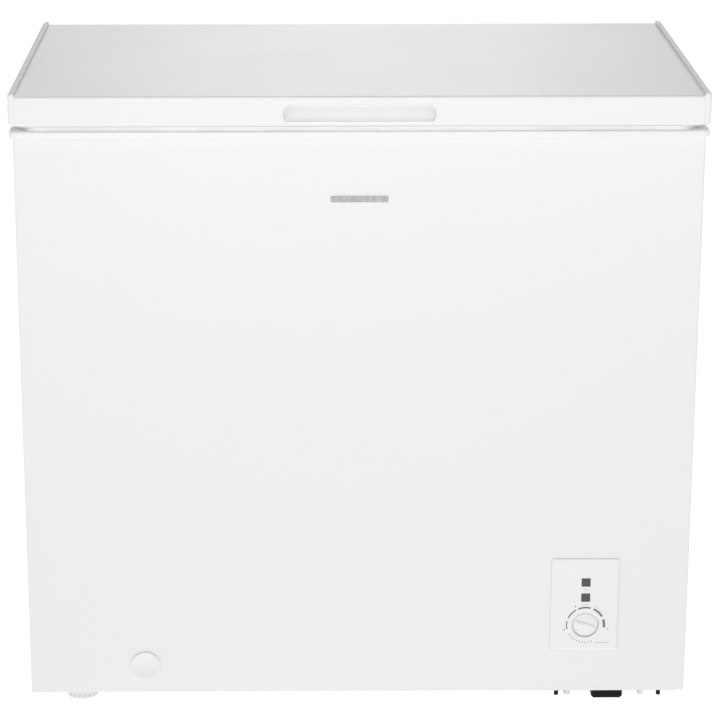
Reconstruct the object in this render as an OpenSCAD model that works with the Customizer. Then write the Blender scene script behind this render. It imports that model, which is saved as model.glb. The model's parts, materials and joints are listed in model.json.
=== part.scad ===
// Chest freezer: foamed cabinet, spring-balanced lid, compressor bay at the lower right.
// Millimetres. Origin on the floor under the middle of the whole box; the front faces -Y.

/* [Overall] */
// Width of the lid and of the top collar
total_w = 905; // [880:5:1000]
// Depth from the lid's front to the back of the hinges
total_d = 545; // [535:5:600]
// Height from the floor to the top of the lid's side caps
total_h = 850; // [840:5:900]
// How far the hinges stand out behind the lid
hinge_proj = 18; // [18:1:24]

/* [Cabinet] */
// Set-back of the cabinet's sides from the collar's edge
body_set = 5; // [3:0.5:8]
// Height of the cabinet's bottom above the floor
base_z = 16; // [16:1:24]
// Thickness of insulated wall, liner included
wall = 62; // [55:1:70]
// Thickness of the steel sheets
sheet = 0.8; // [0.6:0.1:1]
// Inner floor of the deep part of the cavity
floor_z = 93; // [85:1:110]
// Top of the step over the compressor bay
step_z = 310; // [300:1:340]
// Where the step starts, from the middle of the cabinet
step_x = 165; // [150:1:180]
// Height of the compressor bay's roof
bay_z = 245; // [235:1:250]
// Left wall of the compressor bay, from the middle of the cabinet
bay_x = 239; // [236:1:242]

/* [Lid] */
// Thickness of the lid's steel pan
lid_h = 38.5; // [34:0.5:42]
// Gap between collar and lid, filled by the gasket
lid_gap = 7.5; // [6:0.5:9]
// Width of the plastic caps on the lid's ends
cap_w = 9; // [7:0.5:12]
// Width of the finger pocket in the lid's front
pocket_w = 200; // [160:5:240]
// Height of the finger pocket
pocket_h = 26; // [22:1:28]

/* [Controls] */
// Middle of the control panel, from the middle of the cabinet
panel_x = 308; // [300:1:320]
// Middle height of the control panel
panel_z = 142.5; // [135:0.5:145]
// Width of the control panel
panel_w = 92; // [80:1:100]
// Height of the control panel
panel_h = 134; // [120:1:140]
// Height of the thermostat knob's axis
knob_z = 113; // [108:0.5:116]
// Radius of the thermostat knob
knob_r = 16; // [14:0.5:17]

/* [Drain] */
// Drain outlet, from the middle of the cabinet
drain_x = -290.5; // [-320:0.5:-260]
// Height of the drain outlet
drain_z = 55; // [45:1:60]

/* [Basket] */
// Length of the basket along the cabinet
basket_w = 250; // [200:5:300]
// Depth of the basket below its rim
basket_h = 205; // [150:5:230]
// Thickness of the basket's grid wires
wire = 3; // [2.5:0.1:4]

/* [Hidden] */
$fn = 48;
gap = 0.3;           // air between parts that move past each other
run = 0.05;          // radial clearance of a shaft in its bore
front_y = -total_d / 2;
rear_y = total_d / 2 - hinge_proj;
mid_y = (front_y + rear_y) / 2;
lid_d = rear_y - front_y;

// cabinet
body_w = total_w - 2 * body_set;
body_d = lid_d - 2 * body_set;
body_x = body_w / 2;
body_front = front_y + body_set;
body_rear = rear_y - body_set;
bend_r = 3;          // outer bend of the wrapper's upright edges
flange_w = 18;       // folded bottom flange
lid_top = total_h - 3.5;
lid_z = lid_top - lid_h;
collar_top = lid_z - lid_gap;
collar_z = collar_top - 9;

// cavity and collar
in_w = body_w - 2 * wall;
in_d = body_d - 2 * wall;
in_r = 25;           // upright corners of the liner
mouth_w = in_w + 6;  // opening above the ledge
mouth_d = in_d + 6;
ledge_w = 12;        // ledge that carries the basket
ledge_z = collar_z - 9.1;
ledge_t = 2.4;
lip_h = 12;          // collar lip hanging below the ledge
neck_w = mouth_w - 2 * ledge_w;
neck_d = mouth_d - 2 * ledge_w;
wall_top = ledge_z - ledge_t;

// lid
lid_half = total_w / 2 - cap_w;
pocket_z = lid_z + 1.5 + pocket_h / 2;
pocket_r = 11;
pocket_depth = 16;
bulge_h = 13;        // inner panel's bulge below its rim
rim_t = 1.6;

// hinges
hinge_x = 300;
pivot_y = rear_y + 5.5;
pivot_z = lid_z + 5;
pin_r = 2.5;
hinge_w = 44;
ear_t = 2;
ear_r = 5;
lever = 8;           // arm that pulls the spring hook
lever_a = 42.5;      // lever's angle above level with the lid shut
lever_r = 1.75;
lever_y = pivot_y + lever * cos(lever_a);
lever_z = pivot_z + lever * sin(lever_a);
spring_y = pivot_y + 5;
spring_r = 5.5;
spring_z0 = 706;
spring_z1 = 770;
base_low = 690;

// compressor bay
plate_x0 = 228;
plate_x1 = 436;
plate_t = 1.6;
plate_z = base_z - plate_t;
comp_x = 343;
comp_y = 30;
comp_r = 72;
comp_z0 = 46;
comp_z1 = 206;
mount_dx = 75;
mount_dy = 62;
cover_x0 = 254;
cover_x1 = 432;
cover_z0 = 52;
cover_z1 = 228;

// feet
foot_x = -380;
foot_ys = [-233.5, 215.5];
foot_r = 21;
foot_h = 12;
stem_r = 4;
block_x = 343;
block_w = 42.4;
block_d = 42;
base_screw_xs = [287.5, 388.5];
base_plug_xs = [273, 413.5];
base_screw_ys = [-259, 241];

// drain
tube_r = 10;
tube_bore = 7.5;
sump_y = -150;       // drain hole in the cavity's floor

// basket
basket_x1 = neck_w / 2 - 4;
basket_x0 = basket_x1 - basket_w;
basket_d = neck_d - 9;
rim_r = 2.5;
rim_z = ledge_z + rim_r + 0.1;
weld_gap = 0.1;

// ---- shared shapes ----

// Rectangle with rounded corners, centred
module rrect(w, d, r) offset(r = r) square([w - 2 * r, d - 2 * r], center = true);

// Slab with rounded upright corners, centred on the cabinet
module slab(w, d, r, z0, z1) translate([0, mid_y, z0]) linear_extrude(z1 - z0) rrect(w, d, r);

// Upright ring: a slab with a wall of thickness t
module ring(w, d, r, t, z0, z1) translate([0, mid_y, z0]) linear_extrude(z1 - z0) difference() {
    rrect(w, d, r);
    rrect(w - 2 * t, d - 2 * t, max(r - t, 0.5));
}

// Box given by its two corners
module block(a, b) translate(a) cube(b - a);

// Round bars along each axis, from one end to the other
module bar_x(x0, x1, y, z, r) translate([x0, y, z]) rotate([0, 90, 0]) cylinder(r = r, h = x1 - x0);
module bar_y(x, y0, y1, z, r) translate([x, y0, z]) rotate([-90, 0, 0]) cylinder(r = r, h = y1 - y0);
module bar_z(x, y, z0, z1, r) translate([x, y, z0]) cylinder(r = r, h = z1 - z0);

// Rounded plate standing upright, facing -Y, from y0 to y1
module upright(x, z, w, h, r, y0, y1)
    translate([x, y1, z]) rotate([90, 0, 0]) linear_extrude(y1 - y0) rrect(w, h, r);

// Direction from one point to the next
function way(pts, i) = (pts[i + 1] - pts[i]) / norm(pts[i + 1] - pts[i]);

// Straight round leg between two points
module leg(a, b, r) {
    d = b - a;
    l = norm(d);
    translate(a) rotate([0, acos(d.z / l), atan2(d.y, d.x)]) cylinder(r = r, h = l);
}

// Bent pipe along a list of points with square corners, rounded to a bend radius
module pipe(pts, r, bend) {
    last = len(pts) - 2;
    for (i = [0 : last]) leg(pts[i] + (i > 0 ? bend : 0) * way(pts, i),
        pts[i + 1] - (i < last ? bend : 0) * way(pts, i), r);
    for (i = [1 : 1 : last]) {
        u = way(pts, i - 1);
        v = way(pts, i);
        w = cross(-v, u);
        c = pts[i] + bend * (v - u);
        multmatrix([[-v.x, u.x, w.x, c.x], [-v.y, u.y, w.y, c.y], [-v.z, u.z, w.z, c.z]])
            rotate_extrude(angle = 90) translate([bend, 0]) circle(r = r);
    }
}

// Level loop of round tube with rounded corners
module tube_loop(w, d, corner, r, z) {
    x = w / 2 - corner;
    y = d / 2 - corner;
    translate([0, mid_y, z]) {
        for (s = [-1, 1]) {
            bar_x(-x, x, s * d / 2, 0, r);
            bar_y(s * w / 2, -y, y, 0, r);
        }
        for (q = [0 : 3]) {
            sx = (q == 0 || q == 3) ? 1 : -1;
            sy = q < 2 ? 1 : -1;
            translate([sx * x, sy * y, 0]) rotate([0, 0, 90 * q])
                rotate_extrude(angle = 90) translate([corner, 0]) circle(r = r);
        }
    }
}

// Pan-head screw pointing along +Z from its seat at the origin
module pan_screw(head_r, head_h, shank_r, shank_l) {
    translate([0, 0, -head_h]) cylinder(r = head_r, h = head_h);
    cylinder(r = shank_r, h = shank_l);
}

// ---- cabinet ----

module drain_path(r) pipe([[drain_x, body_front, drain_z], [drain_x, sump_y, drain_z],
    [drain_x, sump_y, floor_z - sheet]], r, 16);

module base_holes(xs, r, z0, z1)
    for (x = xs, y = base_screw_ys) bar_z(x, y, z0, z1, r);

grille_y = [-130, 110];
grille_z = [60, 200];

module outer_wrapper() color("white") difference() {
    union() {
        ring(body_w, body_d, bend_r, sheet, base_z, collar_z);
        ring(body_w, body_d, bend_r, flange_w, base_z, base_z + sheet);
    }
    block([-body_x + sheet, body_rear - flange_w - bend_r, base_z - 1],
        [body_x - sheet, body_rear + 1, collar_z + 1]);
    upright(panel_x, panel_z, panel_w - 4, panel_h - 4, 3, body_front - 1, body_front + 2);
    bar_y(drain_x, body_front - 1, body_front + 2, drain_z, tube_r);
    block([body_x - 2, grille_y[0], grille_z[0]], [body_x + 1, grille_y[1], grille_z[1]]);
    base_holes(base_screw_xs, 2.7, base_z - 1, base_z + 2);
    base_holes(base_plug_xs, 2.2, base_z - 1, base_z + 2);
}

// Screw places on the back of the cabinet, for one hinge
module at_hinge_screws() for (dx = [-12, 12], z = [base_low + 20, base_low + 80])
    translate([dx, body_rear, z]) children();

module back_panel() color("gainsboro") difference() {
    union() {
        block([-body_x + sheet, body_rear - sheet, base_z],
            [body_x - sheet, body_rear, collar_z]);
        block([-body_x + sheet, body_rear - flange_w, base_z],
            [body_x - sheet, body_rear - sheet, base_z + sheet]);
    }
    block([cover_x0 + 8, body_rear - 2, cover_z0 + 8], [cover_x1 - 8, body_rear + 1, cover_z1 - 8]);
    for (s = [-1, 1]) translate([s * hinge_x, 0, 0]) at_hinge_screws()
        rotate([90, 0, 0]) cylinder(r = 2.2, h = 4, center = true);
    cover_screws() rotate([90, 0, 0]) cylinder(r = 1.7, h = 4, center = true);
    base_holes(base_screw_xs, 2.7, base_z - 1, base_z + 2);
    base_holes(base_plug_xs, 2.2, base_z - 1, base_z + 2);
}

module bottom_pan() color("silver") difference() {
    block([-body_x + sheet, body_front + sheet, base_z + sheet],
        [bay_x - 1, body_rear - sheet, base_z + 2 * sheet]);
    for (y = foot_ys) bar_z(foot_x, y, base_z, base_z + 2, tube_r);
}

// Collar with a softly rounded outer edge, a ledge for the basket and a lip over the liner
module top_collar() color("white") {
    edge = 2.5;
    difference() {
        hull() {
            slab(total_w - 2, lid_d - 2, 9, collar_z, collar_z + 0.1);
            slab(total_w, lid_d, 10, collar_z + 1, collar_z + 2);
            for (a = [0 : 22.5 : 90]) slab(total_w - 2 * edge * (1 - cos(a)),
                lid_d - 2 * edge * (1 - cos(a)), 10 - edge * (1 - cos(a)),
                collar_top - edge, collar_top - edge * (1 - sin(a)));
        }
        slab(mouth_w, mouth_d, in_r + 3, collar_z - 1, collar_top + 1);
    }
    ring(mouth_w + 2 * ledge_t, mouth_d + 2 * ledge_t, in_r + 3 + ledge_t, ledge_t,
        wall_top, collar_z);
    ring(mouth_w + 2 * ledge_t, mouth_d + 2 * ledge_t, in_r + 3 + ledge_t,
        ledge_w + ledge_t, wall_top, ledge_z);
    ring(neck_w + 4, neck_d + 4, 18, 2, wall_top - lip_h, wall_top);
}

// Cavity outline grown by t, with the step over the compressor bay left out
module cavity(t, top) difference() {
    slab(in_w + 2 * t, in_d + 2 * t, in_r + t, floor_z - t, top);
    block([step_x + t, -total_d, 0], [total_w, total_d, step_z - t]);
}

module foam_insulation() color("khaki") difference() {
    slab(body_w - 2 * sheet, body_d - 2 * sheet, bend_r - sheet, base_z + 2 * sheet, collar_z);
    cavity(sheet, wall_top);
    slab(mouth_w + 2 * ledge_t, mouth_d + 2 * ledge_t, in_r + 3 + ledge_t, wall_top, collar_z + 1);
    block([bay_x - 1, -total_d, 0], [total_w, total_d, bay_z + 1]);
    drain_path(tube_r);
    for (y = foot_ys) bar_z(foot_x, y, base_z, 60, tube_r);
    for (s = [-1, 1]) translate([s * hinge_x, 0, 0]) at_hinge_screws()
        rotate([90, 0, 0]) cylinder(r = 2.2, h = 13);
}

module inner_liner() color("whitesmoke") difference() {
    cavity(sheet, wall_top);
    cavity(0, wall_top + 1);
    bar_z(drain_x, sump_y, floor_z - 2, floor_z + 1, tube_bore);
}

module bay_shell() color("silver") difference() {
    block([bay_x - 1, body_front + sheet, base_z + sheet], [body_x - sheet, body_rear - sheet, bay_z + 1]);
    block([bay_x, -total_d, 0], [total_w, total_d, bay_z]);
    block([bay_x - 2, -total_d, 0], [bay_x + 1, body_front + flange_w, base_z + 2 * sheet]);
    bar_z(panel_x, -200, bay_z - 1, bay_z + 2, 3.2);
}

// ---- controls ----

panel_face = body_front - 1.5;
dish_r = 18.5;
dish_floor = panel_face + 7;
lens = 12;
lens_zs = [175.2, 153.2];
lens_x = 309;

module control_panel() color("white") difference() {
    union() {
        hull() {
            upright(panel_x, panel_z, panel_w - 7, panel_h - 7, 1.5, panel_face, panel_face + 1);
            upright(panel_x, panel_z, panel_w - 3, panel_h - 3, 2.5, panel_face + 0.25, panel_face + 1);
            upright(panel_x, panel_z, panel_w - 0.8, panel_h - 0.8, 3.6, panel_face + 0.8, panel_face + 1);
            upright(panel_x, panel_z, panel_w, panel_h, 4, body_front - 0.3, body_front);
        }
        difference() {
            upright(panel_x, panel_z, panel_w - 4.4, panel_h - 4.4, 3, body_front, body_front + 26);
            upright(panel_x, panel_z, panel_w - 8, panel_h - 8, 2, body_front + 1, body_front + 27);
        }
        bar_y(lens_x + 0.5, body_front, dish_floor + 1.6, knob_z, dish_r + 1.6);
    }
    bar_y(lens_x + 0.5, panel_face - 1, dish_floor, knob_z, dish_r);
    bar_y(lens_x + 0.5, dish_floor - 1, dish_floor + 3, knob_z, 3 + run);
    for (z = lens_zs) upright(lens_x, z, lens, lens, 0.6, panel_face - 1, body_front + 2);
}

module indicator_lenses() color("dimgray") for (z = lens_zs)
    upright(lens_x, z, lens, lens, 0.6, panel_face - 0.3, body_front + 1);

module indicator_board() color("darkgreen") {
    block([294, -259, 142], [325, -257.4, 184]);
    for (z = lens_zs) bar_y(lens_x, body_front + 1, -259, z, 2.5);
}

module thermostat_body() color("silver") difference() {
    union() {
        block([lens_x - 17, dish_floor + 1.6, knob_z - 17], [lens_x + 18, -228, knob_z + 17]);
        block([lens_x - 6, -228, knob_z - 14], [lens_x + 8, -222, knob_z - 2]);
    }
    bar_y(lens_x + 0.5, -262, -235, knob_z, 3 + run);
}

module sensor_capillary() color("peru") {
    pipe([[panel_x, -227.9, 118], [panel_x, -200, 118], [panel_x, -200, 262]], 1.5, 8);
    bar_z(panel_x, -200, 262, 300, 3);
}

module thermostat_shaft() color("silver")
    bar_y(lens_x + 0.5, dish_floor - 3, -236, knob_z, 3);

// Round knob lying in its dish, with a grip ridge across it at the pointer's angle
knob_a = -70;        // pointer, clockwise from straight up
module thermostat_knob() color("white") difference() {
    union() {
        bar_y(lens_x + 0.5, panel_face + 0.8, dish_floor - gap, knob_z, knob_r);
        translate([lens_x + 0.5, 0, knob_z]) rotate([0, knob_a, 0])
            block([-2.6, panel_face - 2, -14], [2.6, panel_face + 0.9, 14]);
    }
    bar_y(lens_x + 0.5, dish_floor - 3, dish_floor + 1, knob_z, 3);
}

// ---- compressor bay ----

module compressor_shell() color("dimgray") translate([comp_x, comp_y, 0]) difference() {
    rotate_extrude() shell_outline(0);
    rotate_extrude() shell_outline(6);
}

// Half outline of the domed can, shrunk by t
module shell_outline(t) {
    r = comp_r - t;
    dome = 34 - t;
    polygon(concat(
        [for (a = [0 : 15 : 90]) [r * sin(a), comp_z1 - 34 + dome * cos(a)]],
        [for (a = [90 : 15 : 180]) [r * sin(a), comp_z0 + 34 + dome * cos(a)]]));
}

module at_mounts() for (sx = [-1, 1], sy = [-1, 1])
    translate([comp_x + sx * mount_dx, comp_y + sy * mount_dy, 0]) children();

module compressor_plate() color("dimgray") difference() {
    union() {
        at_mounts() bar_z(0, 0, 36, 39, 14);
        for (sy = [-1, 1]) block([comp_x - mount_dx, comp_y + sy * mount_dy - 9, 36],
            [comp_x + mount_dx, comp_y + sy * mount_dy + 9, 39]);
        block([comp_x - 40, comp_y - mount_dy, 36], [comp_x + 40, comp_y + mount_dy, 39]);
        bar_z(comp_x, comp_y, 39, comp_z0 + 2, 20);
    }
    at_mounts() bar_z(0, 0, 35, 40, 4);
    translate([comp_x, comp_y, 0]) rotate_extrude() shell_outline(0);
}

module compressor_grommets() color("black") at_mounts() difference() {
    union() {
        bar_z(0, 0, base_z, 36, 11);
        bar_z(0, 0, 39, 42, 11);
    }
    bar_z(0, 0, base_z - 1, 43, 4);
}

module compressor_bolts() color("silver") at_mounts() {
    bar_z(0, 0, plate_z, 42, 4);
    bar_z(0, 0, 42, 45, 9);
    bar_z(0, 0, 45, 49, 6);
}

module relay_cover() color("black") difference() {
    block([comp_x - 30, comp_y + 60, 70], [comp_x + 30, comp_y + 110, 150]);
    bar_z(comp_x, comp_y, 60, 160, comp_r);
}

module refrigerant_tubes() color("peru") {
    pipe([[comp_x, comp_y - comp_r, 150], [comp_x, comp_y - 100, 150],
        [comp_x, comp_y - 100, bay_z]], 4, 14);
    pipe([[comp_x + comp_r, comp_y, 110], [comp_x + 87, comp_y, 110],
        [comp_x + 87, comp_y, bay_z]], 3, 9);
    pipe([[comp_x - comp_r, comp_y, 90], [comp_x - 88, comp_y, 90],
        [comp_x - 88, comp_y, 190]], 3, 9);
}

module filter_drier() color("peru") {
    bar_z(262, -120, 70, 150, 10);
    bar_z(262, -120, 150, bay_z, 2.5);
    pipe([[262, -120, 70], [262, -120, 50], [300, -120, 50], [300, -120, bay_z]], 2.5, 10);
}

module wiring_loom() color("black") pipe([[lens_x, -222, 103], [lens_x, -200, 103],
    [lens_x, -200, 45], [247, -200, 45], [247, 125, 45], [247, 125, 100],
    [comp_x - 30, 125, 100]], 3, 9);

module base_plate() color("silver") difference() {
    block([plate_x0, body_front + 3, plate_z], [plate_x1, body_rear - 3, base_z]);
    base_holes(base_screw_xs, 2.7, plate_z - 1, base_z + 1);
    base_holes(base_plug_xs, 2.2, plate_z - 1, base_z + 1);
    at_mounts() bar_z(0, 0, plate_z - 1, base_z + 1, 4);
}

module base_plate_screws() color("gray") for (x = base_screw_xs, y = base_screw_ys)
    translate([x, y, plate_z]) pan_screw(4.5, 6.7, 2.7, 12);

module base_plate_plugs() color("black") for (x = base_plug_xs, y = base_screw_ys)
    translate([x, y, plate_z]) pan_screw(3, 8, 2.2, 8);

// ---- feet ----

// Moulded block foot with chamfered lower corners
module fixed_foot(y) color("black") translate([block_x, y + block_d, 0]) rotate([90, 0, 0])
    linear_extrude(block_d) polygon([[-block_w / 2 + 3, 0], [block_w / 2 - 3, 0],
        [block_w / 2, 3], [block_w / 2, plate_z], [-block_w / 2, plate_z], [-block_w / 2, 3]]);

module foot_sockets() color("silver") for (y = foot_ys) difference() {
    bar_z(foot_x, y, base_z + sheet, 60, tube_r);
    bar_z(foot_x, y, base_z, 54, stem_r + run);
}

// Round screw foot with finger flutes
module levelling_foot(y) color("lightgray") translate([foot_x, y, 0]) {
    difference() {
        cylinder(r = foot_r, h = foot_h);
        for (a = [0 : 20 : 340]) rotate([0, 0, a]) bar_z(foot_r + 1.2, 0, 3, foot_h + 1, 2.2);
    }
    bar_z(0, 0, foot_h, base_z, 9);
    bar_z(0, 0, base_z, 48, stem_r);
}

// ---- rear and side fittings ----

module side_grille() color("whitesmoke") difference() {
    union() {
        block([body_x, grille_y[0] - 6, grille_z[0] - 6], [body_x + 1.5, grille_y[1] + 6, grille_z[1] + 6]);
        block([body_x - 3, grille_y[0] + gap, grille_z[0] + gap],
            [body_x, grille_y[1] - gap, grille_z[1] - gap]);
    }
    for (z = [grille_z[0] + 12 : 14 : grille_z[1] - 14], s = [0, 1])
        block([body_x - 4, grille_y[0] + 12 + s * 112, z], [body_x + 2, grille_y[0] + 116 + s * 112, z + 7]);
}

module cover_screws() for (x = [cover_x0 + 4, cover_x1 - 4], z = [cover_z0 + 4, cover_z1 - 4])
    translate([x, body_rear, z]) children();

gland_x = 343;
gland_z = 76;

module rear_cover() color("dimgray") difference() {
    block([cover_x0, body_rear, cover_z0], [cover_x1, body_rear + 1.5, cover_z1]);
    for (z = [96 : 12 : 204], s = [-1, 1])
        block([comp_x - 32 + s * 40, body_rear - 1, z], [comp_x + 32 + s * 40, body_rear + 2, z + 5]);
    cover_screws() rotate([90, 0, 0]) cylinder(r = 1.7, h = 6, center = true);
    bar_y(gland_x, body_rear - 1, body_rear + 2, gland_z, 7);
}

module rear_cover_screws() color("silver") cover_screws()
    translate([0, 1.5, 0]) rotate([90, 0, 0]) pan_screw(3.2, 1.8, 1.7, 12);

module cord_gland() color("black") difference() {
    union() {
        bar_y(gland_x, body_rear + 1.5, body_rear + 6, gland_z, 10);
        bar_y(gland_x, body_rear - 4, body_rear + 1.5, gland_z, 7);
    }
    bar_y(gland_x, body_rear - 5, body_rear + 7, gland_z, 3.6);
}

module wall_spacers() color("gray") for (s = [-1, 1]) hull() {
    block([s * 380 - 16, body_rear, 330], [s * 380 + 16, body_rear + 2, 400]);
    block([s * 380 - 9, body_rear + 2, 340], [s * 380 + 9, body_rear + 19, 390]);
}

module front_badge() color("gray") upright(0, 710, 75, 8, 2, body_front - 0.8, body_front);

// ---- drain ----

module drain_tube() color("white") difference() {
    drain_path(tube_r);
    drain_path(tube_bore);
    bar_y(drain_x, body_front - 1, body_front + 3, drain_z, tube_bore);
    bar_z(drain_x, sump_y, floor_z - 4, floor_z + 1, tube_bore);
}

module drain_cap() color("white") {
    bar_y(drain_x, body_front - 1.3, body_front - 0.1, drain_z, 20.5);
    bar_y(drain_x, body_front - 2.2, body_front - 1.3, drain_z, 19.4);
    bar_y(drain_x, body_front - 0.2, body_front + 16, drain_z, tube_bore - run);
}

module inner_drain_plug() color("white") {
    bar_z(drain_x, sump_y, floor_z + 0.1, floor_z + 2.5, 14);
    bar_z(drain_x, sump_y, floor_z + 2, floor_z + 9, 5);
    bar_z(drain_x, sump_y, floor_z - 12, floor_z + 1, tube_bore - run);
}

// ---- basket ----

basket_mid = (basket_x0 + basket_x1) / 2;
hang_y = mouth_d / 2 - 7;   // rim wires that rest on the ledges

module basket_frame() color("whitesmoke") {
    for (s = [-1, 1]) {
        bar_x(basket_x0, basket_x1, mid_y + s * hang_y, rim_z, rim_r);
        bar_y(basket_mid + s * basket_w / 2, mid_y - hang_y, mid_y + hang_y, rim_z, rim_r);
        for (t = [-1, 1]) translate([basket_mid + s * basket_w / 2, mid_y + t * hang_y, rim_z])
            sphere(r = rim_r);
    }
}

// One flat lattice of square bars, w by h, centred, with nw by nh windows
module lattice(w, h, nw, nh) linear_extrude(wire) difference() {
    square([w, h], center = true);
    pw = (w - wire) / nw;
    ph = (h - wire) / nh;
    for (i = [0 : nw - 1], j = [0 : nh - 1])
        translate([-w / 2 + wire + i * pw, -h / 2 + wire + j * ph]) square([pw - wire, ph - wire]);
}

// Five flat panels, a weld gap apart: floor, front, rear and the two ends
module basket_grid() color("whitesmoke") {
    w = basket_w - 8;
    d = basket_d - 2 * (wire + weld_gap);
    top = rim_z - rim_r;
    low = top - basket_h;
    strip = 2.5;   // half the width of the strip that carries an end wire of the rim
    translate([basket_mid, mid_y, low]) lattice(w - 2 * (wire + weld_gap), d, 7, 10);
    for (s = [-1, 1]) {
        translate([basket_mid, mid_y + s * (basket_d - wire) / 2 + wire / 2, (top + low) / 2])
            rotate([90, 0, 0]) lattice(w, basket_h, 7, 5);
        translate([basket_mid + s * (w - wire) / 2 - wire / 2, mid_y, (top + low) / 2])
            rotate([90, 0, 90]) lattice(d, basket_h, 10, 5);
        block([basket_mid + s * (basket_w / 2 - strip) - strip, mid_y - d / 2, top - wire],
            [basket_mid + s * (basket_w / 2 - strip) + strip, mid_y + d / 2, top]);
    }
}

module basket_grips() color("gray") for (s = [-1, 1]) difference() {
    bar_y(basket_mid + s * basket_w / 2, mid_y - 45, mid_y + 45, rim_z, 4.6);
    bar_y(basket_mid + s * basket_w / 2, mid_y - 46, mid_y + 46, rim_z, rim_r);
    block([-total_w, -total_d, 0], [total_w, total_d, rim_z - 1.5]);
}

// ---- coils in the foam ----

module evaporator_coil() color("peru") {
    w = in_w + 2 * sheet + 9;
    d = in_d + 2 * sheet + 9;
    for (z = [340 : 62 : 712]) tube_loop(w, d, in_r + sheet + 4.5, 4, z);
    bar_z(300, mid_y + d / 2, bay_z + 1, 712, 4);
}

module condenser_coil() color("peru") {
    w = body_w - 2 * sheet - 5.6;
    d = body_d - 2 * sheet - 5.6;
    for (z = [370 : 62 : 742]) tube_loop(w, d, 25, 2.5, z);
    bar_z(comp_x, mid_y + d / 2, bay_z + 1, 742, 2.5);
}

// ---- hinges ----

module hinge_base() difference() {
    union() {
        difference() {
            block([-hinge_w / 2, body_rear, base_low], [hinge_w / 2, total_d / 2, collar_z - gap]);
            block([-hinge_w / 2 + ear_t, body_rear + ear_t, base_low - 1],
                [hinge_w / 2 - ear_t, total_d, collar_z + 1]);
        }
        for (s = [-1, 1]) {
            block([s * (hinge_w - ear_t) / 2 - ear_t / 2, pivot_y - ear_r, collar_z - gap],
                [s * (hinge_w - ear_t) / 2 + ear_t / 2, pivot_y + ear_r, pivot_z]);
            bar_x(s * (hinge_w - ear_t) / 2 - ear_t / 2, s * (hinge_w - ear_t) / 2 + ear_t / 2,
                pivot_y, pivot_z, ear_r);
        }
        block([-4, body_rear + ear_t, spring_z0 - 10], [4, spring_y + 3, spring_z0]);
    }
    bar_x(-hinge_w, hinge_w, pivot_y, pivot_z, pin_r + run);
    at_hinge_screws() rotate([90, 0, 0]) cylinder(r = 2.2, h = 8, center = true);
}

module hinge_screws_cabinet() color("silver") for (s = [-1, 1]) translate([s * hinge_x, ear_t, 0])
    at_hinge_screws() rotate([90, 0, 0]) pan_screw(4.2, 2.6, 2.2, 14);

module hinge_springs() color("gray") for (s = [-1, 1]) difference() {
    bar_z(s * hinge_x, spring_y, spring_z0, spring_z1, spring_r);
    bar_z(s * hinge_x, spring_y, spring_z0 - 1, spring_z1 + 1, spring_r - 1.6);
}

// Hook that the lever's pin rides in; it slides down as the lid opens
module spring_hooks() color("silver") for (s = [-1, 1]) translate([s * hinge_x, 0, 0]) {
    slot = lever_r + 0.45;
    web_y = pivot_y + pin_r + gap;
    bar_z(0, spring_y, spring_z1, spring_z1 + 3, spring_r - 0.5);
    block([-3, spring_y - 2, spring_z1 + 2], [3, spring_y + 2, lever_z - slot - 1]);
    block([-4, web_y, lever_z - slot - 1.8], [4, pivot_y + 10, lever_z - slot]);
    block([-4, web_y, lever_z - slot], [4, web_y + 1.2, lever_z + slot]);
    block([-4, web_y, lever_z + slot], [4, pivot_y + 10, lever_z + slot + 1.8]);
}

leaf_x = hinge_w / 2 - ear_t - gap;     // outer face of the leaf's ears

module hinge_leaf() difference() {
    union() {
        block([-leaf_x, rear_y, lid_z + 1], [leaf_x, rear_y + 1.8, lid_top - 2]);
        for (s = [-1, 1]) {
            x0 = s * (leaf_x - ear_t / 2) - ear_t / 2;
            block([x0, rear_y, lid_z + 1], [x0 + ear_t, pivot_y, lid_z + 26]);
            bar_x(x0, x0 + ear_t, pivot_y, pivot_z, ear_r);
            hull() {
                bar_x(x0, x0 + ear_t, pivot_y, pivot_z, 3.6);
                bar_x(x0, x0 + ear_t, lever_y, lever_z, 3);
            }
        }
    }
    bar_x(-hinge_w, hinge_w, pivot_y, pivot_z, pin_r);
    bar_x(-hinge_w, hinge_w, lever_y, lever_z, lever_r);
    at_leaf_screws() rotate([90, 0, 0]) cylinder(r = 1.9, h = 8, center = true);
}

module at_leaf_screws() for (dx = [-9, 9]) translate([dx, rear_y, lid_top - 9]) children();

module hinge_pins() color("silver") for (s = [-1, 1]) translate([s * hinge_x, 0, 0]) {
    bar_x(-hinge_w / 2 - 1.5, hinge_w / 2 + 1.5, pivot_y, pivot_z, pin_r);
    bar_x(-leaf_x, leaf_x, lever_y, lever_z, lever_r);
}

module hinge_screws_lid() color("silver") for (s = [-1, 1]) translate([s * hinge_x, 1.8, 0])
    at_leaf_screws() rotate([90, 0, 0]) pan_screw(3.6, 2.2, 1.9, 12);

// ---- lid ----

module pocket_outline(grow, y0, y1)
    upright(0, pocket_z, pocket_w + 2 * grow, pocket_h + 2 * grow, pocket_r + grow, y0, y1);

module lid_skin() color("white") difference() {
    translate([-lid_half, 0, 0]) rotate([90, 0, 90]) linear_extrude(2 * lid_half) difference() {
        translate([mid_y, lid_z + lid_h / 2]) rrect(lid_d, lid_h, bend_r);
        translate([mid_y, lid_z + lid_h / 2]) rrect(lid_d - 2 * sheet, lid_h - 2 * sheet, bend_r - sheet);
        translate([front_y + 12, lid_z - 1]) square([lid_d - 24, 3]);
    }
    pocket_outline(0.15, front_y - 1, front_y + 2);
    for (s = [-1, 1]) translate([s * hinge_x, 0, 0]) at_leaf_screws()
        rotate([90, 0, 0]) cylinder(r = 1.9, h = 8, center = true);
}

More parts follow.
